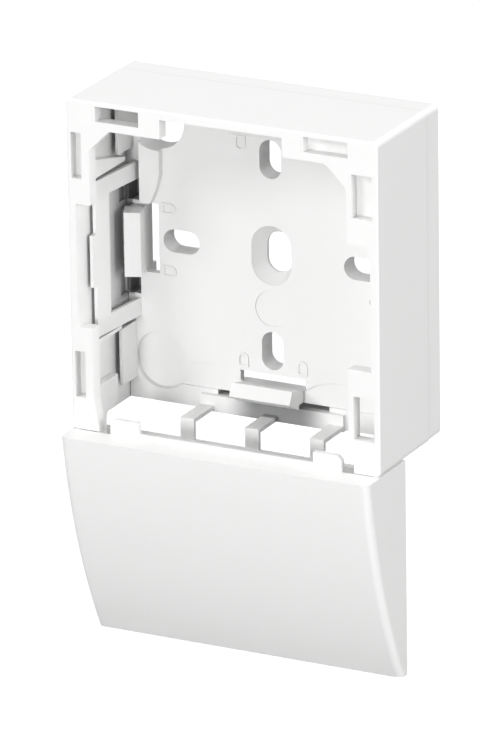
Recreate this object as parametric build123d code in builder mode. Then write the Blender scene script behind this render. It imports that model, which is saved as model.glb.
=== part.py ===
"""Trunking adapter: a surface box for one wiring accessory that stands on skirting trunking.

The frame has its origin on the wall, at the centre of the four fixing slots.
X runs to the right, Y into the wall and Z up, so the box lies at negative Y.
All sizes are in millimetres.
"""

import os

from build123d import *

# Box outline
width = 85.0
height = 86.0
depth = 34.0
wall = 2.2
corner_radius = 1.5
edge_round = 0.5
fit_gap = 0.2
seam_step = 0.15

# Front rim and its window
rim_thickness = 3.4
rim_left = 6.2
rim_right = 8.6
rim_top = 7.15
gusset = 5.6
rim_flare = 1.3
rim_flare_rise = 8.0
foot_notch = 1.5
notch_wall = 2.2
top_notch_length = 33.4
side_notch_length = 32.0

# Clip slots in the rim
clip_skin = 1.1
clip_right_skin = 1.5
clip_length = 12.0
clip_right_length = 11.2
clip_height = 3.9
clip_left_width = 2.9
clip_right_width = 5.6
clip_spacing = 57.0
clip_blind_depth = 2.8

# Base plate against the wall
base_depth = 6.5
base_raise = 1.0
skin = 2.0
skirt = 2.0
collar_wall = 1.6
collar_back = 1.85
lip_inset = 1.2
lip_thickness = 0.85
lip_height = 7.85
lip_break_end = 22.0
lip_break_high = 23.3
lip_break_low = 22.4
lip_rise = 5.8

# Fixing slots and cable entries
fixing_count = 4
fixing_spacing = 50.0
fixing_width = 6.0
fixing_length = 10.0
oval_width = 11.0
oval_length = 15.4
entry_diameter = 14.4
entry_from_side = 11.5
entry_from_top = 12.1
pad_gap = 1.0
pad_width = 5.6
pad_length = 21.4
pad_curve = 8.0
pad_bulge = 1.0
pad_height = 2.0
knockout_diameter = 15.2
knockout_from_side = 11.6
knockout_from_bottom = 11.1
knockout_depth = 1.5
pilot_diameter = 9.4
pilot_depth = 0.3
pilot_drop = 13.9

# Hooks that hold the frame shell on the base plate
hook_inset_side = 7.5
hook_inset_end = 8.75
hook_length = 16.8
hook_height = 7.85
hook_lean = 1.8
hook_slope = 1.65
side_hook_crest = 2.0
side_hook_thickness = 3.2
end_hook_crest = 1.35
end_hook_thickness = 2.9
hook_barb = 1.0
hook_barb_land = 0.7
barb_height = 2.5
side_relief = 3.7
end_relief = 3.05
relief_clearance = 0.7
root_skin = 3.6
guide_gap = 1.0
guide_length = 3.8
guide_width = 2.9
guide_line = 0.5
guide_height = 0.3
guide_offset = 8.2
catch_length = 14.0

# Arched cable break-outs and the slit above the comb's band
arch_radius = 17.0
arch_x = 18.6
arch_rise = 12.1
arch_depth = 0.5
slit_length = 31.0
slit_height = 1.2

# Side entry insert
insert_length = 40.6
insert_z = -0.5
insert_front = 27.0
insert_bar = 6.0
insert_arm = 4.6
insert_thickness = 0.9
insert_front_gap = 1.8
insert_back_gap = 3.7
tongue_length = 13.5
tongue_reach = 1.8
rail_reach = 2.4
rail_back = 12.2
rail_front = 28.5
rail_gap = 1.2
rail_back_rise = 1.0
rail_front_rise = 5.0
ledge_gap = 0.3
ledge_thickness = 1.0

# Pockets behind the side entry, at the two ends of the left hook
pocket_back = 2.0
pocket_wall = 1.0
pocket_start = 9.4
pocket_end = 15.2
rebate_depth = 1.0
rebate_front = 11.2

# Curved hood over the trunking
trunking_depth = 20.0
hood_height = 56.5
hood_proud = 7.0
hood_lip = 3.0
hood_bow = 2.6
hood_wall = 2.0
tab_x = 28.0
tab_length = 7.7
tab_height = 4.0
tab_thickness = 1.6
tab_chamfer = 1.2
ear_thickness = 1.8
ear_rise = 9.6
ear_foot = 2.2
ear_drop = 6.0
ear_front = 29.0
ear_back = 23.9
ear_end = 17.5
ear_round = 2.5
hood_round = 1.8

# Comb between the box and the trunking
strap_spacing = 18.0
strap_count = 3
strap_width = 3.8
strap_thickness = 1.1
strap_rise = 1.6
leg_setback = 0.4
leg_drop = 4.0
cross_height = 1.8
band_height = 4.3
band_thickness = 1.2

# Places that several pieces share
half_width = width / 2
half_height = height / 2
bottom = -half_height
inner_half_width = half_width - wall
inner_top = half_height - wall
plate_half_width = inner_half_width - fit_gap
plate_top = inner_top - fit_gap
floor_depth = base_depth + base_raise
hollow_depth = floor_depth - skin
rim_back = depth - rim_thickness
window_left = -half_width + rim_left
window_right = half_width - rim_right
window_top = half_height - rim_top
clip_z = half_height - clip_skin - clip_height / 2
clip_left_x = -half_width + clip_skin + clip_left_width / 2
clip_right_x = half_width - clip_right_skin - clip_right_width / 2
side_root = half_width - hook_inset_side
end_root = half_height - hook_inset_end
side_hooks = ((0, side_root), (180, side_root))
end_hooks = ((90, end_root), (270, end_root))
hook_front = floor_depth + hook_height
barb_back = floor_depth + barb_height
lip_half_width = plate_half_width - lip_inset
lip_top = plate_top - lip_inset
insert_front_x = -inner_half_width + insert_front_gap
insert_back_x = -inner_half_width + insert_back_gap
entry_x = -half_width + entry_from_side
entry_z = half_height - entry_from_top
knockout_x = -half_width + knockout_from_side
knockout_z = bottom + knockout_from_bottom
pad_left = insert_back_x + pad_gap
pad_right = pad_left + pad_width
pad_bottom = entry_z - pad_length
pad_middle = pad_left + pad_width / 2
pocket_left = -plate_half_width
pocket_middle = (pocket_start + pocket_end) / 2
pocket_length = pocket_end - pocket_start
insert_top = insert_z + insert_length / 2
insert_foot = insert_z - insert_length / 2
ledge_back = hook_front + fit_gap
ledge_z = insert_foot - ledge_gap - ledge_thickness / 2
arch_z = bottom + arch_rise - arch_radius
slit_z = bottom + band_height + slit_height / 2
catch_reach_side = hook_inset_side - wall - side_hook_thickness - fit_gap
catch_reach_top = hook_inset_end - wall - end_hook_thickness - fit_gap
hood_front = depth + hood_proud
hood_bottom = bottom - hood_height
lip_front = trunking_depth + hood_lip
strap_top = bottom + strap_rise
strap_places = [(row - (strap_count - 1) / 2) * strap_spacing for row in range(strap_count)]
leg_front = trunking_depth - leg_setback
leg_back = leg_front - strap_thickness
ear_foot_z = bottom + ear_foot


def wall_plane(distance):
    """A plane parallel to the wall, that distance in front of it, with X right and Z up."""
    return Plane.XZ.offset(distance)


def side_plane(x):
    """An upright plane across the box at x, with Y into the wall and Z up."""
    return Plane.YZ.offset(x)


def level_plane(z):
    """A level plane at that height."""
    return Plane.XY.offset(z)


def hook_plane(turn, root):
    """A plane square to the wall through a hook's root, with its first direction out at turn degrees."""
    outward = Vector(1, 0, 0).rotate(Axis.Y, -turn)
    across = Vector(0, 0, 1).rotate(Axis.Y, -turn)
    return Plane(origin=outward * root, x_dir=outward, z_dir=across)


def hook_places(hooks, inward):
    """A place in front of each hook on a plane parallel to the wall, inward from its root."""
    spots = [(Vector(root - inward, 0, 0).rotate(Axis.Z, turn), turn) for turn, root in hooks]
    return [Location(spot, (0, 0, turn)) for spot, turn in spots]


def hook_outline(crest, thickness):
    """The section of a hook that leans inward, with a front that slopes inward and a barb outside."""
    return [
        (0, -floor_depth),
        (-hook_lean, hook_slope - hook_front),
        (crest, -hook_front),
        (thickness + hook_barb, -barb_back - hook_barb_land),
        (thickness + hook_barb, -barb_back),
        (thickness, -barb_back),
        (thickness, -floor_depth),
    ]


# Base plate: a shallow tray, hollow behind, with the fixing slots, entries and hooks
with BuildPart() as base_plate:
    with BuildSketch(wall_plane(0)):
        RectangleRounded(width - 2 * seam_step, height - 2 * seam_step, corner_radius)
    extrude(amount=base_depth)
    with BuildSketch(wall_plane(base_depth)):
        with Locations((0, (plate_top + bottom + seam_step) / 2)):
            Rectangle(2 * plate_half_width, plate_top - bottom - seam_step)
    extrude(amount=base_raise)
    with BuildSketch(wall_plane(0)):
        Rectangle(width - 2 * skirt, height - 2 * skirt)
    extrude(amount=hollow_depth, mode=Mode.SUBTRACT)

    # Collars round the oval entry and the slit that reach the wall, and shorter ones round the other holes
    with BuildSketch(wall_plane(0)):
        SlotOverall(oval_length + 2 * collar_wall, oval_width + 2 * collar_wall, rotation=90)
        with Locations((0, slit_z)):
            Rectangle(slit_length + 2 * collar_wall, slit_height + 2 * collar_wall)
    extrude(amount=hollow_depth)
    with BuildSketch(wall_plane(collar_back)):
        with PolarLocations(fixing_spacing / 2, fixing_count):
            SlotOverall(fixing_length + 2 * collar_wall, fixing_width + 2 * collar_wall)
        with Locations((entry_x, entry_z)):
            Circle(entry_diameter / 2 + collar_wall)
    extrude(amount=hollow_depth - collar_back)

    # Thicker floor under the hooks, and the walls of two pockets behind the side entry
    with BuildSketch(wall_plane(floor_depth - root_skin)):
        for hooks, thickness in ((side_hooks, side_hook_thickness), (end_hooks, end_hook_thickness)):
            with Locations(*hook_places(hooks, -thickness / 2)):
                Rectangle(thickness, hook_length + 2 * relief_clearance)
    extrude(amount=root_skin - skin)
    with BuildSketch(wall_plane(pocket_back - pocket_wall)):
        with Locations(
            ((pocket_left + insert_back_x) / 2, pocket_middle),
            ((pocket_left + insert_back_x) / 2, -pocket_middle),
        ):
            Rectangle(insert_back_x - pocket_left + 2 * pocket_wall, pocket_length + 2 * pocket_wall)
    extrude(amount=hollow_depth - pocket_back + pocket_wall)

    # Raised pad below the round entry
    with BuildSketch(wall_plane(floor_depth)):
        with BuildLine():
            Polyline(
                (pad_right, entry_z),
                (pad_left, entry_z),
                (pad_left, pad_bottom),
                (pad_middle, pad_bottom),
            )
            ThreePointArc(
                (pad_middle, pad_bottom),
                (pad_right - pad_bulge, pad_bottom + pad_curve / 2),
                (pad_right, pad_bottom + pad_curve),
            )
            Line((pad_right, pad_bottom + pad_curve), (pad_right, entry_z))
        make_face()
    extrude(amount=pad_height)

    # Fixing slots, entries, the reliefs in front of the hooks and the slit above the comb's band
    with BuildSketch(wall_plane(0)):
        with PolarLocations(fixing_spacing / 2, fixing_count):
            SlotOverall(fixing_length, fixing_width)
        SlotOverall(oval_length, oval_width, rotation=90)
        with Locations((entry_x, entry_z)):
            Circle(entry_diameter / 2)
        for hooks, relief in ((side_hooks, side_relief), (end_hooks, end_relief)):
            with Locations(*hook_places(hooks, relief / 2)):
                Rectangle(relief, hook_length + 2 * relief_clearance)
        with Locations((0, slit_z)):
            Rectangle(slit_length, slit_height)
    extrude(amount=floor_depth + pad_height, mode=Mode.SUBTRACT)
    with BuildSketch(wall_plane(pocket_back)):
        with Locations(
            ((pocket_left + insert_back_x) / 2, pocket_middle),
            ((pocket_left + insert_back_x) / 2, -pocket_middle),
        ):
            Rectangle(insert_back_x - pocket_left, pocket_length)
    extrude(amount=floor_depth - pocket_back, mode=Mode.SUBTRACT)

    # Upstanding lip inside the shell, open at the bottom, beside the hooks and behind the side entry
    with BuildSketch(wall_plane(floor_depth)):
        Rectangle(2 * lip_half_width, 2 * lip_top)
        Rectangle(2 * (lip_half_width - lip_thickness), 2 * (lip_top - lip_thickness), mode=Mode.SUBTRACT)
        Rectangle(lip_break_end, height, mode=Mode.SUBTRACT)
        with Locations((0, (lip_break_high - lip_break_low) / 2)):
            Rectangle(width, lip_break_high + lip_break_low, mode=Mode.SUBTRACT)
        with Locations((0, bottom)):
            Rectangle(width, 2 * lip_rise, mode=Mode.SUBTRACT)
    extrude(amount=lip_height)

    # Shallow marks in the front face: arched break-outs, knock-out and pilot
    with BuildSketch(wall_plane(floor_depth)):
        with Locations((-arch_x, arch_z), (arch_x, arch_z)):
            Circle(arch_radius)
        with Locations((0, bottom)):
            Rectangle(width, 2 * (band_height + slit_height), mode=Mode.SUBTRACT)
    extrude(amount=-arch_depth, mode=Mode.SUBTRACT)
    with BuildSketch(wall_plane(floor_depth)):
        with Locations((knockout_x, knockout_z)):
            Circle(knockout_diameter / 2)
    extrude(amount=-knockout_depth, mode=Mode.SUBTRACT)
    with BuildSketch(wall_plane(floor_depth)):
        with Locations((0, -pilot_drop)):
            Circle(pilot_diameter / 2)
    extrude(amount=-pilot_depth, mode=Mode.SUBTRACT)

    # Low outlines, rounded towards the middle, at the two ends of each relief
    with BuildSketch(wall_plane(floor_depth)):
        for hooks, relief in ((side_hooks, side_relief), (end_hooks, end_relief)):
            with Locations(*hook_places(hooks, relief + guide_gap + guide_length / 2)):
                with Locations((0, guide_offset), (0, -guide_offset)):
                    SlotOverall(guide_length, guide_width)
                    Rectangle(guide_length / 2, guide_width, align=(Align.MIN, Align.CENTER))
        for hooks, relief in ((side_hooks, side_relief), (end_hooks, end_relief)):
            with Locations(*hook_places(hooks, relief + guide_gap + guide_length / 2)):
                with Locations((0, guide_offset), (0, -guide_offset)):
                    SlotOverall(
                        guide_length - 2 * guide_line,
                        guide_width - 2 * guide_line,
                        mode=Mode.SUBTRACT,
                    )
                    Rectangle(
                        guide_length / 2 - guide_line,
                        guide_width - 2 * guide_line,
                        align=(Align.MIN, Align.CENTER),
                        mode=Mode.SUBTRACT,
                    )
    extrude(amount=guide_height)

    # Four leaning hooks with an outward barb, one for each side of the shell
    for hooks, crest, thickness in (
        (side_hooks, side_hook_crest, side_hook_thickness),
        (end_hooks, end_hook_crest, end_hook_thickness),
    ):
        with BuildSketch(*[hook_plane(turn, root) for turn, root in hooks]):
            with BuildLine():
                Polyline(*hook_outline(crest, thickness), close=True)
            make_face()
        extrude(amount=hook_length / 2, both=True)
base_plate.part.label = "base_plate"


# Frame shell: the walls and the slotted front rim, open at the back and at the bottom
with BuildPart() as frame_shell:
    with BuildSketch(wall_plane(base_depth)):
        RectangleRounded(width, height, corner_radius)
    extrude(amount=depth - base_depth)
    fillet(frame_shell.faces().sort_by(Axis.Y)[0].edges(), edge_round)
    with BuildSketch(wall_plane(base_depth)):
        with Locations((0, (inner_top + bottom) / 2)):
            Rectangle(2 * inner_half_width, inner_top - bottom)
    extrude(amount=rim_back - base_depth, mode=Mode.SUBTRACT)

    # Window with chamfered upper corners, a notch in three sides and an open foot
    with BuildSketch(wall_plane(rim_back)):
        with BuildLine():
            Polyline(
                (window_left, window_top - gusset),
                (window_left + gusset, window_top),
                (window_right - gusset, window_top),
                (window_right, window_top - gusset),
                (window_right, bottom),
                (window_left + rim_flare, bottom),
                (window_left, bottom + rim_flare_rise),
                close=True,
            )
        make_face()
        with Locations((0, half_height - notch_wall - rim_top)):
            Rectangle(top_notch_length, 2 * rim_top)
        Rectangle(width - 2 * notch_wall, side_notch_length)
        with Locations((window_right, bottom)):
            Rectangle(2 * foot_notch, 2 * tab_height)
    extrude(amount=rim_thickness, mode=Mode.SUBTRACT)

    # Clip slots that go through the rim
    with BuildSketch(wall_plane(rim_back)):
        with Locations((-clip_spacing / 2, clip_z)):
            Rectangle(clip_length, clip_height)
        with Locations((clip_right_x, -clip_spacing / 2)):
            Rectangle(clip_right_width, clip_right_length)
    extrude(amount=rim_thickness, mode=Mode.SUBTRACT)

    # Clip slots that stop short inside the rim
    with BuildSketch(wall_plane(depth)):
        with Locations((clip_spacing / 2, clip_z)):
            Rectangle(clip_length, clip_height)
        with Locations((clip_left_x, clip_spacing / 2), (clip_left_x, -clip_spacing / 2)):
            Rectangle(clip_left_width, clip_length)
        with Locations((clip_right_x, clip_spacing / 2)):
            Rectangle(clip_right_width, clip_right_length)
    extrude(amount=-clip_blind_depth, mode=Mode.SUBTRACT)

    # Rebates in the left wall beside the pockets of the base plate
    with BuildSketch(wall_plane(base_depth)):
        with Locations((-inner_half_width, pocket_middle), (-inner_half_width, -pocket_middle)):
            Rectangle(2 * rebate_depth, pocket_length)
    extrude(amount=rebate_front - base_depth, mode=Mode.SUBTRACT)

    # Catches under the barbs of the hooks, on the two sides and the top
    with BuildSketch(wall_plane(floor_depth + fit_gap)):
        with Locations((-inner_half_width, 0), (inner_half_width, 0)):
            Rectangle(2 * catch_reach_side, catch_length)
        with Locations((0, inner_top)):
            Rectangle(catch_length, 2 * catch_reach_top)
        Rectangle(2 * half_width, 2 * half_height, mode=Mode.INTERSECT)
    extrude(amount=barb_height - 2 * fit_gap)

    # Wedge above the side entry insert and a ledge below it, both on the left wall
    with BuildSketch(side_plane(-half_width + wall / 2)):
        with BuildLine():
            Polyline(
                (-rail_back, insert_top + rail_gap),
                (-rail_back, insert_top + rail_gap + rail_back_rise),
                (-rail_front, insert_top + rail_gap + rail_front_rise),
                (-rail_front, insert_top + rail_gap),
                close=True,
            )
        make_face()
        with Locations((-(ledge_back + rail_front) / 2, ledge_z)):
            Rectangle(rail_front - ledge_back, ledge_thickness)
    extrude(amount=wall / 2 + rail_reach)
frame_shell.part.label = "frame_shell"


# Side entry insert: a leaning frame inside the left wall, open towards the base plate
with BuildPart() as side_insert:
    with BuildSketch(level_plane(insert_foot)):
        with BuildLine():
            Polyline(
                (insert_front_x, -insert_front),
                (insert_back_x, -floor_depth),
                (insert_back_x - insert_thickness, -floor_depth),
                (insert_front_x - insert_thickness, -insert_front),
                close=True,
            )
        make_face()
    extrude(amount=insert_length)
    with BuildSketch(side_plane(-half_width)):
        with Locations((-(insert_front - insert_bar) / 2, insert_z)):
            Rectangle(insert_front - insert_bar, insert_length - 2 * insert_arm)
    extrude(amount=half_width, mode=Mode.SUBTRACT)

    # Tongue at the front that shows in the notch of the rim
    with BuildSketch(level_plane(insert_z - tongue_length / 2)):
        with Locations((insert_front_x - insert_thickness / 2, -insert_front - tongue_reach / 2)):
            Rectangle(insert_thickness, tongue_reach)
    extrude(amount=tongue_length)
side_insert.part.label = "side_insert"


# Trunking cover: a curved hood, hollow and open behind, with the comb on its upper edge
with BuildPart() as trunking_cover:
    with BuildSketch(side_plane(-half_width)):
        with BuildLine():
            front_curve = SagittaArc((-hood_front, bottom), (-lip_front, hood_bottom), -hood_bow)
            Polyline(
                front_curve @ 1,
                (-trunking_depth, hood_bottom),
                (-trunking_depth, bottom),
                front_curve @ 0,
            )
        make_face()
    extrude(amount=width)
    fillet(trunking_cover.edges().filter_by(GeomType.CIRCLE), hood_round)
    with BuildSketch(side_plane(-half_width + hood_wall)):
        with BuildLine():
            inner_curve = SagittaArc(
                (-hood_front + hood_wall, bottom - hood_wall),
                (-lip_front + hood_wall, hood_bottom + hood_wall),
                -hood_bow,
            )
            Polyline(
                inner_curve @ 1,
                (-trunking_depth, hood_bottom + hood_wall),
                (-trunking_depth, bottom - hood_wall),
                inner_curve @ 0,
            )
        make_face()
    extrude(amount=width - 2 * hood_wall, mode=Mode.SUBTRACT)

    # The ledge stops at the front of the box, so that cables pass from the box into the hood
    with BuildSketch(level_plane(bottom - hood_wall)):
        with Locations((0, -(depth + trunking_depth) / 2)):
            Rectangle(width - 2 * hood_wall, depth - trunking_depth)
    extrude(amount=hood_wall, mode=Mode.SUBTRACT)

    # Two tabs behind the ledge, in the open foot of the rim
    with BuildSketch(wall_plane(depth - tab_thickness)):
        for side in (-1, 1):
            with BuildLine():
                Polyline(
                    (side * (tab_x - tab_length / 2), bottom - hood_wall),
                    (side * (tab_x + tab_length / 2), bottom - hood_wall),
                    (side * (tab_x + tab_length / 2), bottom + tab_height - tab_chamfer),
                    (side * (tab_x + tab_length / 2 - tab_chamfer), bottom + tab_height),
                    (side * (tab_x - tab_length / 2), bottom + tab_height),
                    close=True,
                )
            make_face()
    extrude(amount=tab_thickness)

    # Ears that stand up inside the side walls of the shell, with a rounded web behind the hood
    for inner_face in (-plate_half_width, plate_half_width - ear_thickness):
        with BuildSketch(side_plane(inner_face)):
            with BuildLine():
                web_arc = CenterArc((-ear_back + ear_round, ear_foot_z - ear_round), ear_round, 90, 90)
                Polyline(
                    web_arc @ 1,
                    (-ear_back, bottom - ear_drop),
                    (-ear_front, bottom - ear_drop),
                    (-ear_front, bottom + ear_rise),
                    (-ear_end, bottom + ear_rise),
                    (-ear_end, ear_foot_z),
                    web_arc @ 0,
                )
            make_face()
        extrude(amount=ear_thickness)
    for side in (-1, 1):
        root_x = side * (half_width - hood_wall / 2 - wall / 2)
        with BuildSketch(level_plane(bottom - ear_drop)):
            with Locations((root_x, -(ear_front + ear_back) / 2)):
                Rectangle(wall, ear_front - ear_back)
        extrude(amount=ear_drop - fit_gap)

    # Comb: the straps, the legs at the front of the trunking, the cross strip and the rear band
    with BuildSketch(*[side_plane(x) for x in strap_places]):
        with BuildLine():
            Polyline(
                (-floor_depth, strap_top),
                (-leg_front, strap_top),
                (-leg_front, bottom - leg_drop),
                (-leg_back, bottom - leg_drop),
                (-leg_back, strap_top - strap_thickness),
                (-floor_depth, strap_top - strap_thickness),
                close=True,
            )
        make_face()
    extrude(amount=strap_width / 2, both=True)
    with BuildSketch(wall_plane(leg_back)):
        with Locations((0, bottom - leg_drop - cross_height / 2)):
            Rectangle(width - hood_wall, cross_height)
    extrude(amount=2 * strap_thickness)
    with BuildSketch(wall_plane(floor_depth)):
        with Locations((0, bottom + band_height / 2)):
            Rectangle((strap_count - 1) * strap_spacing + strap_width, band_height)
    extrude(amount=band_thickness)
trunking_cover.part.label = "trunking_cover"

os.makedirs("parts", exist_ok=True)
export_step(base_plate.part, "parts/base_plate.step")
export_step(frame_shell.part, "parts/frame_shell.step")
export_step(side_insert.part, "parts/side_insert.step")
export_step(trunking_cover.part, "parts/trunking_cover.step")
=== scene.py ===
"""Trunking adapter in white moulded plastic, over a pale floor in soft studio light."""

import math

import bmesh
import bpy
from mathutils import Matrix, Vector


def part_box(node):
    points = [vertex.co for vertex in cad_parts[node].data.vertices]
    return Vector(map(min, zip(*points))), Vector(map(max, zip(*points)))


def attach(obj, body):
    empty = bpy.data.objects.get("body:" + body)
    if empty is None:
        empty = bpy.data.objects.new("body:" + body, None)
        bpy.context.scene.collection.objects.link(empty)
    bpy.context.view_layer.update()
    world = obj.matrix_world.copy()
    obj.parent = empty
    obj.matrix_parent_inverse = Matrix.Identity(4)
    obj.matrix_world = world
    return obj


MM = 0.001

# Camera: where the photographer stood, read from the corners of the box
CAMERA_YAW = 27.320
CAMERA_PITCH = 19.730
CAMERA_ROLL = -0.874
CAMERA_TARGET_MM = (-13.11, 0.0, -33.98)
CAMERA_DISTANCE_MM = 2164.6
CAMERA_CLIP_END = 20.0
FOCAL_PIXELS = 8674.1
PICTURE_HEIGHT_PIXELS = 737
SENSOR_MM = 36.0

# Studio
FLOOR_HALF_SIZE = 4.0
FLOOR_COLOUR = (0.30, 0.30, 0.30, 1.0)
FLOOR_GLOW = 0.90
WHITE = (1.0, 1.0, 1.0, 1.0)
WORLD_FILL = 0.06

# Soft boxes: name, place and side in metres, power in watts; all of them face one point
LAMP_AIM = (0.0, -0.02, -0.03)
LAMPS = (
    ("key_box", (-0.75, -1.15, 0.85), 0.5, 8.3),
    ("front_box", (0.1, -1.35, 0.10), 0.36, 8.6),
    ("right_box", (1.40, -0.33, 0.32), 0.7, 13.4),
    ("top_box", (0.0, -0.05, 1.45), 0.6, 10.2),
    ("left_box", (-1.45, -0.35, 0.35), 0.7, 2.5),
    ("rear_box", (0.2, 1.3, 0.6), 0.8, 5.0),
)

# Plastic, with the grain of its mould
PLASTIC_COLOUR = (0.93, 0.93, 0.925, 1.0)
PLASTIC_IOR = 1.46
SATIN_ROUGHNESS = 0.42
MATT_ROUGHNESS = 0.46
ROUGHNESS_SPREAD = 0.08
GRAIN_SCALE = 2500.0
GRAIN_DETAIL = 3.0
GRAIN_DEPTH_MM = 0.02
GRAIN_STRENGTH = 0.35
FLOW_SCALE = 40.0
FLOW_DETAIL = 2.0
FLOW_DIP = 0.985
EDGE_ROUND_MM = 0.1
EDGE_SAMPLES = 4

# Painted shade in narrow gaps: its colour, how far their walls are felt, the openness below which the
# shade is full and above which there is none, and the strength of the shade on each piece
PAINTED_SHADE_COLOUR = (0.10, 0.10, 0.105, 1.0)
CREVICE_REACH_MM = 7.0
CREVICE_SAMPLES = 8
CLOSED_BELOW = 0.1
OPEN_ABOVE = 0.62
BASE_GAP_SHADE = 0.5
INSERT_GAP_SHADE = 0.35
SHELL_GAP_SHADE = 0.15
NO_GAP_SHADE = 0.0

# Shade painted into places that little light reaches, in mm: the middle, half size and soft margin
# of a box, then the shade at its front and at its back
# Painted shade on the shell's left wall behind the side insert, darker towards the back
SHELL_RECESS = ((-40.1, -12.2, -0.5), (1.9, 5.4, 16.6), (0.3, 0.5, 1.5), 0.0, 0.85)
# Painted shade on the base plate's edge by the left wall, behind the side insert
BASE_RECESS = ((-39.8, -5.0, -0.5), (1.6, 4.0, 15.6), (0.6, 0.5, 1.0), 0.8, 0.9)
# Painted shadow of the bottom hook on the hood's rear band
HOOK_SHADOW_ON_BAND = ((1.5, -8.2, -40.6), (15.0, 3.0, 4.0), (9.0, 1.0, 0.3), 0.75, 0.75)
NO_RECESS = ((0.0, 0.0, 0.0), (0.0, 0.0, 0.0), (1.0, 1.0, 1.0), 0.0, 0.0)

# Shade painted along the seam between the shell and the base plate, on the outer skin of the box
SEAM_DEPTH_MM = 6.5
SEAM_HALF_WIDTH_MM = 0.55
SEAM_SKIN_X_MM = 42.2
SEAM_SKIN_Z_MM = 42.7
SEAM_SHADE = 0.13
NO_SEAM_SHADE = 0.0

# Funnel inside the oval cable entry, down to its smaller hole; an oval is given as its radius and half the
# length of its straight sides
FUNNEL_MOUTH_MM = (5.56, 2.2)
FUNNEL_MOUTH_DEPTH_MM = 7.35
FUNNEL_HOLE_MM = (3.5, 1.8)
FUNNEL_HOLE_X_MM = 0.6
FUNNEL_HOLE_DEPTH_MM = 4.2
FUNNEL_BACK_MM = 3.0
FUNNEL_EDGE_MM = 0.15
FUNNEL_ARC_STEPS = 32

# Low rib on the rear edge of the hood's ledge, between the two tabs
RIB_HALF_LENGTH_MM = 24.2
RIB_FRONT_MM = 34.05
RIB_BACK_MM = 32.8
RIB_TOP_MM = -41.9
RIB_FOOT_MM = -44.8
RIB_ROUND_MM = 0.35
RIB_ROUND_STEPS = 4


def make_camera():
    """The camera at the photograph's viewing angle."""
    yaw, pitch, roll = (math.radians(value) for value in (CAMERA_YAW, CAMERA_PITCH, CAMERA_ROLL))
    back = Vector((math.sin(yaw) * math.cos(pitch), -math.cos(yaw) * math.cos(pitch), math.sin(pitch)))
    right = Vector((math.cos(yaw), math.sin(yaw), 0.0))
    up = back.cross(right)
    turned_right = right * math.cos(roll) + up * math.sin(roll)
    turned_up = up * math.cos(roll) - right * math.sin(roll)
    place = Vector(CAMERA_TARGET_MM) * MM + back * CAMERA_DISTANCE_MM * MM
    data = bpy.data.cameras.new("camera")
    data.sensor_fit = "VERTICAL"
    data.sensor_height = SENSOR_MM
    data.lens = FOCAL_PIXELS * SENSOR_MM / PICTURE_HEIGHT_PIXELS
    data.clip_end = CAMERA_CLIP_END
    camera = bpy.data.objects.new("camera", data)
    turn = Matrix((turned_right, turned_up, back)).transposed().to_4x4()
    camera.matrix_world = Matrix.Translation(place) @ turn
    bpy.context.scene.collection.objects.link(camera)
    bpy.context.scene.camera = camera


def make_lamp(name, place, size, watts):
    """A square soft box at place that faces the part."""
    data = bpy.data.lights.new(name, "AREA")
    data.shape = "SQUARE"
    data.size = size
    data.energy = watts
    lamp = bpy.data.objects.new(name, data)
    way = Vector(LAMP_AIM) - Vector(place)
    lamp.matrix_world = Matrix.Translation(place) @ way.to_track_quat("-Z", "Y").to_matrix().to_4x4()
    bpy.context.scene.collection.objects.link(lamp)


def fill_inputs(tree, node, values):
    """Links sockets to the first inputs of a node, or sets them where a value is a plain number."""
    for slot, value in enumerate(values):
        if isinstance(value, bpy.types.NodeSocket):
            tree.links.new(value, node.inputs[slot])
        else:
            node.inputs[slot].default_value = value


def add_maths(tree, operation, *values):
    """Adds a maths node to the tree and gives its result."""
    node = tree.nodes.new("ShaderNodeMath")
    node.operation = operation
    fill_inputs(tree, node, values)
    return node.outputs[0]


def add_vector_maths(tree, operation, *values):
    """Adds a vector maths node to the tree and gives its result."""
    node = tree.nodes.new("ShaderNodeVectorMath")
    node.operation = operation
    fill_inputs(tree, node, values)
    return node.outputs["Vector"]


def split_vector(tree, vector):
    """The X, Y and Z of a vector."""
    node = tree.nodes.new("ShaderNodeSeparateXYZ")
    tree.links.new(vector, node.inputs["Vector"])
    return node.outputs["X"], node.outputs["Y"], node.outputs["Z"]


def make_world():
    """White behind everything, and a weak even fill on what stands in it."""
    world = bpy.data.worlds.new("studio")
    bpy.context.scene.world = world
    world.use_nodes = True
    tree = world.node_tree
    nodes, links = tree.nodes, tree.links
    nodes.clear()
    path = nodes.new("ShaderNodeLightPath")
    seen = add_maths(tree, "MAXIMUM", path.outputs["Is Camera Ray"], path.outputs["Is Glossy Ray"])
    clear = add_maths(tree, "MAXIMUM", seen, path.outputs["Is Transmission Ray"])
    fill = nodes.new("ShaderNodeBackground")
    fill.inputs["Color"].default_value = WHITE
    fill.inputs["Strength"].default_value = WORLD_FILL
    backdrop = nodes.new("ShaderNodeBackground")
    backdrop.inputs["Color"].default_value = WHITE
    backdrop.inputs["Strength"].default_value = 1.0
    mix = nodes.new("ShaderNodeMixShader")
    links.new(clear, mix.inputs["Fac"])
    links.new(fill.outputs[0], mix.inputs[1])
    links.new(backdrop.outputs[0], mix.inputs[2])
    out = nodes.new("ShaderNodeOutputWorld")
    links.new(mix.outputs[0], out.inputs["Surface"])


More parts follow.
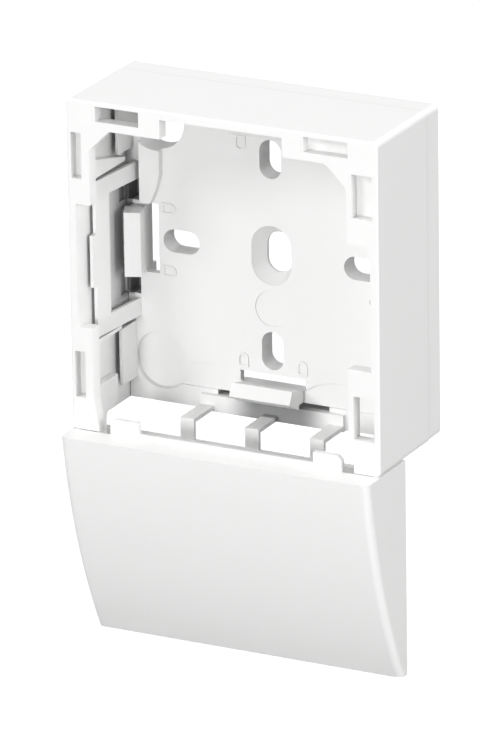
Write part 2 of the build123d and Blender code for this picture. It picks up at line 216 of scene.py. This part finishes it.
def make_floor(level):
    """A pale floor that stays white in the picture and keeps a soft shadow."""
    mesh = bpy.data.meshes.new("floor")
    reach = FLOOR_HALF_SIZE
    corners = [(-reach, -reach, level), (reach, -reach, level), (reach, reach, level), (-reach, reach, level)]
    mesh.from_pydata(corners, [], [(0, 1, 2, 3)])
    floor = bpy.data.objects.new("floor", mesh)
    bpy.context.scene.collection.objects.link(floor)
    material = bpy.data.materials.new("floor_paper")
    material.use_nodes = True
    tree = material.node_tree
    nodes, links = tree.nodes, tree.links
    nodes.clear()
    paper = nodes.new("ShaderNodeBsdfDiffuse")
    paper.inputs["Color"].default_value = FLOOR_COLOUR
    path = nodes.new("ShaderNodeLightPath")
    glow = add_maths(tree, "MULTIPLY", path.outputs["Is Camera Ray"], FLOOR_GLOW)
    white = nodes.new("ShaderNodeEmission")
    white.inputs["Color"].default_value = WHITE
    links.new(glow, white.inputs["Strength"])
    both = nodes.new("ShaderNodeAddShader")
    links.new(paper.outputs[0], both.inputs[0])
    links.new(white.outputs[0], both.inputs[1])
    out = nodes.new("ShaderNodeOutputMaterial")
    links.new(both.outputs[0], out.inputs["Surface"])
    mesh.materials.append(material)


def add_socket(group, name, way, kind, value=None):
    """Gives a node group one named input or output."""
    socket = group.interface.new_socket(name=name, in_out=way, socket_type=kind)
    if value is not None:
        socket.default_value = value


def moulded_grain_group():
    """Fine grain of a spark-eroded mould: a height, a roughness and a faint mottling of the colour."""
    group = bpy.data.node_groups.new("moulded_grain", "ShaderNodeTree")
    add_socket(group, "Vector", "INPUT", "NodeSocketVector")
    add_socket(group, "Grain Scale", "INPUT", "NodeSocketFloat", GRAIN_SCALE)
    add_socket(group, "Flow Scale", "INPUT", "NodeSocketFloat", FLOW_SCALE)
    add_socket(group, "Base Roughness", "INPUT", "NodeSocketFloat", SATIN_ROUGHNESS)
    add_socket(group, "Roughness Spread", "INPUT", "NodeSocketFloat", ROUGHNESS_SPREAD)
    add_socket(group, "Height", "OUTPUT", "NodeSocketFloat")
    add_socket(group, "Roughness", "OUTPUT", "NodeSocketFloat")
    add_socket(group, "Flow", "OUTPUT", "NodeSocketFloat")
    nodes, links = group.nodes, group.links
    entry = nodes.new("NodeGroupInput")
    grain = nodes.new("ShaderNodeTexNoise")
    grain.inputs["Detail"].default_value = GRAIN_DETAIL
    links.new(entry.outputs["Vector"], grain.inputs["Vector"])
    links.new(entry.outputs["Grain Scale"], grain.inputs["Scale"])
    flow = nodes.new("ShaderNodeTexNoise")
    flow.inputs["Detail"].default_value = FLOW_DETAIL
    links.new(entry.outputs["Vector"], flow.inputs["Vector"])
    links.new(entry.outputs["Flow Scale"], flow.inputs["Scale"])
    centred = add_maths(group, "SUBTRACT", grain.outputs["Fac"], 0.5)
    spread, base = entry.outputs["Roughness Spread"], entry.outputs["Base Roughness"]
    rough = add_maths(group, "MULTIPLY_ADD", centred, spread, base)
    leave = nodes.new("NodeGroupOutput")
    links.new(grain.outputs["Fac"], leave.inputs["Height"])
    links.new(rough, leave.inputs["Roughness"])
    links.new(flow.outputs["Fac"], leave.inputs["Flow"])
    return group


def painted_shade_group():
    """Painted shade where little light falls: narrow gaps by their openness, and one deep recess by its
    place.
    """
    group = bpy.data.node_groups.new("crevice_shade", "ShaderNodeTree")
    add_socket(group, "Openness", "INPUT", "NodeSocketFloat", 1.0)
    add_socket(group, "Closed Below", "INPUT", "NodeSocketFloat", CLOSED_BELOW)
    add_socket(group, "Open Above", "INPUT", "NodeSocketFloat", OPEN_ABOVE)
    add_socket(group, "Gap Shade", "INPUT", "NodeSocketFloat", 1.0)
    add_socket(group, "Vector", "INPUT", "NodeSocketVector")
    add_socket(group, "Recess Middle", "INPUT", "NodeSocketVector")
    add_socket(group, "Recess Half Size", "INPUT", "NodeSocketVector")
    add_socket(group, "Recess Margin", "INPUT", "NodeSocketVector")
    add_socket(group, "Recess Front Shade", "INPUT", "NodeSocketFloat", 0.0)
    add_socket(group, "Recess Back Shade", "INPUT", "NodeSocketFloat", 0.0)
    add_socket(group, "Shade", "OUTPUT", "NodeSocketFloat")
    nodes, links = group.nodes, group.links
    entry = nodes.new("NodeGroupInput")

    gap = nodes.new("ShaderNodeMapRange")
    gap.interpolation_type = "SMOOTHSTEP"
    gap.inputs["To Max"].default_value = 0.0
    links.new(entry.outputs["Openness"], gap.inputs["Value"])
    links.new(entry.outputs["Gap Shade"], gap.inputs["To Min"])
    links.new(entry.outputs["Closed Below"], gap.inputs["From Min"])
    links.new(entry.outputs["Open Above"], gap.inputs["From Max"])

    # The mask of the recess: 1 inside its box, falling to 0 at the box's sides over the margin
    offset = add_vector_maths(group, "SUBTRACT", entry.outputs["Vector"], entry.outputs["Recess Middle"])
    spread = add_vector_maths(group, "ABSOLUTE", offset)
    inside = add_vector_maths(group, "SUBTRACT", entry.outputs["Recess Half Size"], spread)
    share = add_vector_maths(group, "DIVIDE", inside, entry.outputs["Recess Margin"])
    share_x, share_y, share_z = split_vector(group, share)
    nearer = add_maths(group, "MINIMUM", share_x, share_y)
    nearest = add_maths(group, "MINIMUM", nearer, share_z)
    recess = nodes.new("ShaderNodeMapRange")
    recess.interpolation_type = "SMOOTHSTEP"
    links.new(nearest, recess.inputs["Value"])

    # The shade of the recess, from its front to its back
    offset_y = split_vector(group, offset)[1]
    half_depth = split_vector(group, entry.outputs["Recess Half Size"])[1]
    front = add_maths(group, "MULTIPLY", half_depth, -1.0)
    deepen = nodes.new("ShaderNodeMapRange")
    links.new(offset_y, deepen.inputs["Value"])
    links.new(front, deepen.inputs["From Min"])
    links.new(half_depth, deepen.inputs["From Max"])
    links.new(entry.outputs["Recess Front Shade"], deepen.inputs["To Min"])
    links.new(entry.outputs["Recess Back Shade"], deepen.inputs["To Max"])
    dark = add_maths(group, "MULTIPLY", recess.outputs["Result"], deepen.outputs["Result"])

    shade = add_maths(group, "MAXIMUM", gap.outputs["Result"], dark)
    leave = nodes.new("NodeGroupOutput")
    links.new(shade, leave.inputs["Shade"])
    return group


def painted_seam_shade_group():
    """A thin line of shade painted along a seam that runs round the outer skin at one depth."""
    group = bpy.data.node_groups.new("seam_line", "ShaderNodeTree")
    add_socket(group, "Vector", "INPUT", "NodeSocketVector")
    add_socket(group, "Seam Place", "INPUT", "NodeSocketFloat", -SEAM_DEPTH_MM * MM)
    add_socket(group, "Half Width", "INPUT", "NodeSocketFloat", SEAM_HALF_WIDTH_MM * MM)
    add_socket(group, "Skin X", "INPUT", "NodeSocketFloat", SEAM_SKIN_X_MM * MM)
    add_socket(group, "Skin Z", "INPUT", "NodeSocketFloat", SEAM_SKIN_Z_MM * MM)
    add_socket(group, "Shade", "INPUT", "NodeSocketFloat", NO_SEAM_SHADE)
    add_socket(group, "Line", "OUTPUT", "NodeSocketFloat")
    nodes, links = group.nodes, group.links
    entry = nodes.new("NodeGroupInput")
    x, y, z = split_vector(group, entry.outputs["Vector"])
    beyond_x = add_maths(group, "GREATER_THAN", add_maths(group, "ABSOLUTE", x), entry.outputs["Skin X"])
    beyond_z = add_maths(group, "GREATER_THAN", add_maths(group, "ABSOLUTE", z), entry.outputs["Skin Z"])
    outer = add_maths(group, "MAXIMUM", beyond_x, beyond_z)
    offset = add_maths(group, "SUBTRACT", y, entry.outputs["Seam Place"])
    away = add_maths(group, "ABSOLUTE", offset)
    near = nodes.new("ShaderNodeMapRange")
    near.interpolation_type = "SMOOTHSTEP"
    near.inputs["To Max"].default_value = 0.0
    links.new(away, near.inputs["Value"])
    links.new(entry.outputs["Half Width"], near.inputs["From Max"])
    links.new(entry.outputs["Shade"], near.inputs["To Min"])
    line = add_maths(group, "MULTIPLY", near.outputs["Result"], outer)
    leave = nodes.new("NodeGroupOutput")
    links.new(line, leave.inputs["Line"])
    return group


def plastic_material(name, groups, roughness, gap_shade, recess=NO_RECESS, seam_shade=NO_SEAM_SHADE):
    """White moulded plastic with a fine grain, slightly rounded edges, and painted shade in crevices and
    seam.
    """
    grain_group, shade_group, line_group = groups
    middle, half_size, soft_margin, front_shade, back_shade = recess
    material = bpy.data.materials.new(name)
    material.use_nodes = True
    tree = material.node_tree
    nodes, links = tree.nodes, tree.links
    nodes.clear()
    place = nodes.new("ShaderNodeTexCoord")
    grain = nodes.new("ShaderNodeGroup")
    grain.node_tree = grain_group
    grain.inputs["Base Roughness"].default_value = roughness
    links.new(place.outputs["Object"], grain.inputs["Vector"])
    mottled = nodes.new("ShaderNodeMix")
    mottled.data_type = "RGBA"
    mottled.inputs["A"].default_value = [part * FLOW_DIP for part in PLASTIC_COLOUR[:3]] + [1.0]
    mottled.inputs["B"].default_value = PLASTIC_COLOUR
    links.new(grain.outputs["Flow"], mottled.inputs["Factor"])

    # Painted shade: the colour darkens to a dark grey in narrow gaps, in one recess and along the seam
    openness = nodes.new("ShaderNodeAmbientOcclusion")
    openness.samples = CREVICE_SAMPLES
    openness.inputs["Distance"].default_value = CREVICE_REACH_MM * MM
    crevice = nodes.new("ShaderNodeGroup")
    crevice.node_tree = shade_group
    links.new(openness.outputs["AO"], crevice.inputs["Openness"])
    links.new(place.outputs["Object"], crevice.inputs["Vector"])
    crevice.inputs["Gap Shade"].default_value = gap_shade
    crevice.inputs["Recess Middle"].default_value = [value * MM for value in middle]
    crevice.inputs["Recess Half Size"].default_value = [value * MM for value in half_size]
    crevice.inputs["Recess Margin"].default_value = [value * MM for value in soft_margin]
    crevice.inputs["Recess Front Shade"].default_value = front_shade
    crevice.inputs["Recess Back Shade"].default_value = back_shade
    seam = nodes.new("ShaderNodeGroup")
    seam.node_tree = line_group
    seam.inputs["Shade"].default_value = seam_shade
    links.new(place.outputs["Object"], seam.inputs["Vector"])
    darker = add_maths(tree, "MAXIMUM", crevice.outputs["Shade"], seam.outputs["Line"])
    shaded = nodes.new("ShaderNodeMix")
    shaded.data_type = "RGBA"
    shaded.inputs["B"].default_value = PAINTED_SHADE_COLOUR
    links.new(mottled.outputs["Result"], shaded.inputs["A"])
    links.new(darker, shaded.inputs["Factor"])

    soften = nodes.new("ShaderNodeBevel")
    soften.samples = EDGE_SAMPLES
    soften.inputs["Radius"].default_value = EDGE_ROUND_MM * MM
    bump = nodes.new("ShaderNodeBump")
    bump.inputs["Strength"].default_value = GRAIN_STRENGTH
    bump.inputs["Distance"].default_value = GRAIN_DEPTH_MM * MM
    links.new(grain.outputs["Height"], bump.inputs["Height"])
    links.new(soften.outputs["Normal"], bump.inputs["Normal"])

    shader = nodes.new("ShaderNodeBsdfPrincipled")
    shader.inputs["IOR"].default_value = PLASTIC_IOR
    links.new(shaded.outputs["Result"], shader.inputs["Base Color"])
    links.new(grain.outputs["Roughness"], shader.inputs["Roughness"])
    links.new(bump.outputs["Normal"], shader.inputs["Normal"])
    out = nodes.new("ShaderNodeOutputMaterial")
    links.new(shader.outputs[0], out.inputs["Surface"])
    return material


def dress(node, material):
    """Puts the material on every slot of a node of the frame."""
    if not node.material_slots:
        node.data.materials.append(material)
    for slot in node.material_slots:
        slot.material = material


def oval_ring(size, depth, middle_x=0.0, widen=0.0):
    """Points of an upright oval, in metres: a half circle above and one below, joined by straight sides."""
    radius, half_straight = size[0] + widen, size[1]
    points = []
    for end in (0, 1):
        rise = half_straight if end == 0 else -half_straight
        for step in range(FUNNEL_ARC_STEPS + 1):
            turn = math.pi * (end + step / FUNNEL_ARC_STEPS)
            across = middle_x + radius * math.cos(turn)
            up = rise + radius * math.sin(turn)
            points.append((across * MM, -depth * MM, up * MM))
    return points


def piece_from_rings(name, rings, closed_ends):
    """A closed body through rings of points: faces close its ends, or its last ring joins the first."""
    count = len(rings[0])
    pairs = list(zip(range(len(rings)), range(1, len(rings))))
    faces = []
    if closed_ends:
        faces.append(tuple(range(count)))
        faces.append(tuple(range((len(rings) - 1) * count, len(rings) * count)))
    else:
        pairs.append((len(rings) - 1, 0))
    for row, following in pairs:
        for step in range(count):
            after = (step + 1) % count
            faces.append((
                row * count + step,
                row * count + after,
                following * count + after,
                following * count + step,
            ))
    mesh = bpy.data.meshes.new(name)
    mesh.from_pydata([point for ring in rings for point in ring], [], faces)
    work = bmesh.new()
    work.from_mesh(mesh)
    bmesh.ops.recalc_face_normals(work, faces=work.faces)
    work.to_mesh(mesh)
    work.free()
    piece = bpy.data.objects.new(name, mesh)
    bpy.context.scene.collection.objects.link(piece)
    return piece


def make_entry_funnel():
    """The sloping wall that leads from the oval mouth of the cable entry to its smaller hole."""
    middle = FUNNEL_HOLE_X_MM
    rings = [
        oval_ring(FUNNEL_MOUTH_MM, FUNNEL_MOUTH_DEPTH_MM),
        oval_ring(FUNNEL_HOLE_MM, FUNNEL_HOLE_DEPTH_MM, middle, FUNNEL_EDGE_MM),
        oval_ring(FUNNEL_HOLE_MM, FUNNEL_HOLE_DEPTH_MM - FUNNEL_EDGE_MM, middle),
        oval_ring(FUNNEL_HOLE_MM, FUNNEL_BACK_MM + FUNNEL_EDGE_MM, middle),
        oval_ring(FUNNEL_HOLE_MM, FUNNEL_BACK_MM, middle, FUNNEL_EDGE_MM),
        oval_ring(FUNNEL_MOUTH_MM, FUNNEL_BACK_MM),
    ]
    return piece_from_rings("entry_funnel", rings, closed_ends=False)


def make_ledge_rib():
    """The low rib that joins the two tabs of the hood, with a rounded top."""
    profile = [(RIB_FRONT_MM, RIB_FOOT_MM)]
    for corner, start in ((RIB_FRONT_MM - RIB_ROUND_MM, 0.0), (RIB_BACK_MM + RIB_ROUND_MM, 90.0)):
        for step in range(RIB_ROUND_STEPS + 1):
            turn = math.radians(start + 90.0 * step / RIB_ROUND_STEPS)
            forward = corner + RIB_ROUND_MM * math.cos(turn)
            up = RIB_TOP_MM - RIB_ROUND_MM + RIB_ROUND_MM * math.sin(turn)
            profile.append((forward, up))
    profile.append((RIB_BACK_MM, RIB_FOOT_MM))
    rings = []
    for x in (-RIB_HALF_LENGTH_MM, RIB_HALF_LENGTH_MM):
        rings.append([(x * MM, -forward * MM, up * MM) for forward, up in profile])
    return piece_from_rings("ledge_rib", rings, closed_ends=True)


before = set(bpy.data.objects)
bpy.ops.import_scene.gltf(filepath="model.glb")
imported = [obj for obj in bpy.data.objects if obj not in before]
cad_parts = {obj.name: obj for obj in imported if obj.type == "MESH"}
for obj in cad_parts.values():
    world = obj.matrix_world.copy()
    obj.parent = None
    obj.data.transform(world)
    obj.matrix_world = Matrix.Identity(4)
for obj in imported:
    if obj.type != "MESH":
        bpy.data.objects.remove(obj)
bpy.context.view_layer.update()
bpy.context.scene.view_settings.view_transform = "Standard"
make_camera()
make_world()
make_floor(min(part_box(name)[0].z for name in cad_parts))
for name, place, size, watts in LAMPS:
    make_lamp(name, place, size, watts)

groups = (moulded_grain_group(), painted_shade_group(), painted_seam_shade_group())
base_plastic = plastic_material(
    "base_plastic", groups, MATT_ROUGHNESS, BASE_GAP_SHADE, BASE_RECESS, SEAM_SHADE)
shell_plastic = plastic_material(
    "shell_plastic", groups, SATIN_ROUGHNESS, SHELL_GAP_SHADE, SHELL_RECESS, SEAM_SHADE)
insert_plastic = plastic_material("insert_plastic", groups, MATT_ROUGHNESS, INSERT_GAP_SHADE)
# The hood carries the painted shadow of the bottom hook on its rear band
hood_plastic = plastic_material("hood_plastic", groups, SATIN_ROUGHNESS, NO_GAP_SHADE, HOOK_SHADOW_ON_BAND)
funnel_plastic = plastic_material("funnel_plastic", groups, MATT_ROUGHNESS, NO_GAP_SHADE)
dress(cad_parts["base_plate"], base_plastic)
dress(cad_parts["frame_shell"], shell_plastic)
dress(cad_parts["side_insert"], insert_plastic)
dress(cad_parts["trunking_cover"], hood_plastic)

for piece, material in ((make_entry_funnel(), funnel_plastic), (make_ledge_rib(), hood_plastic)):
    piece.data.materials.append(material)
    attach(piece, "root")
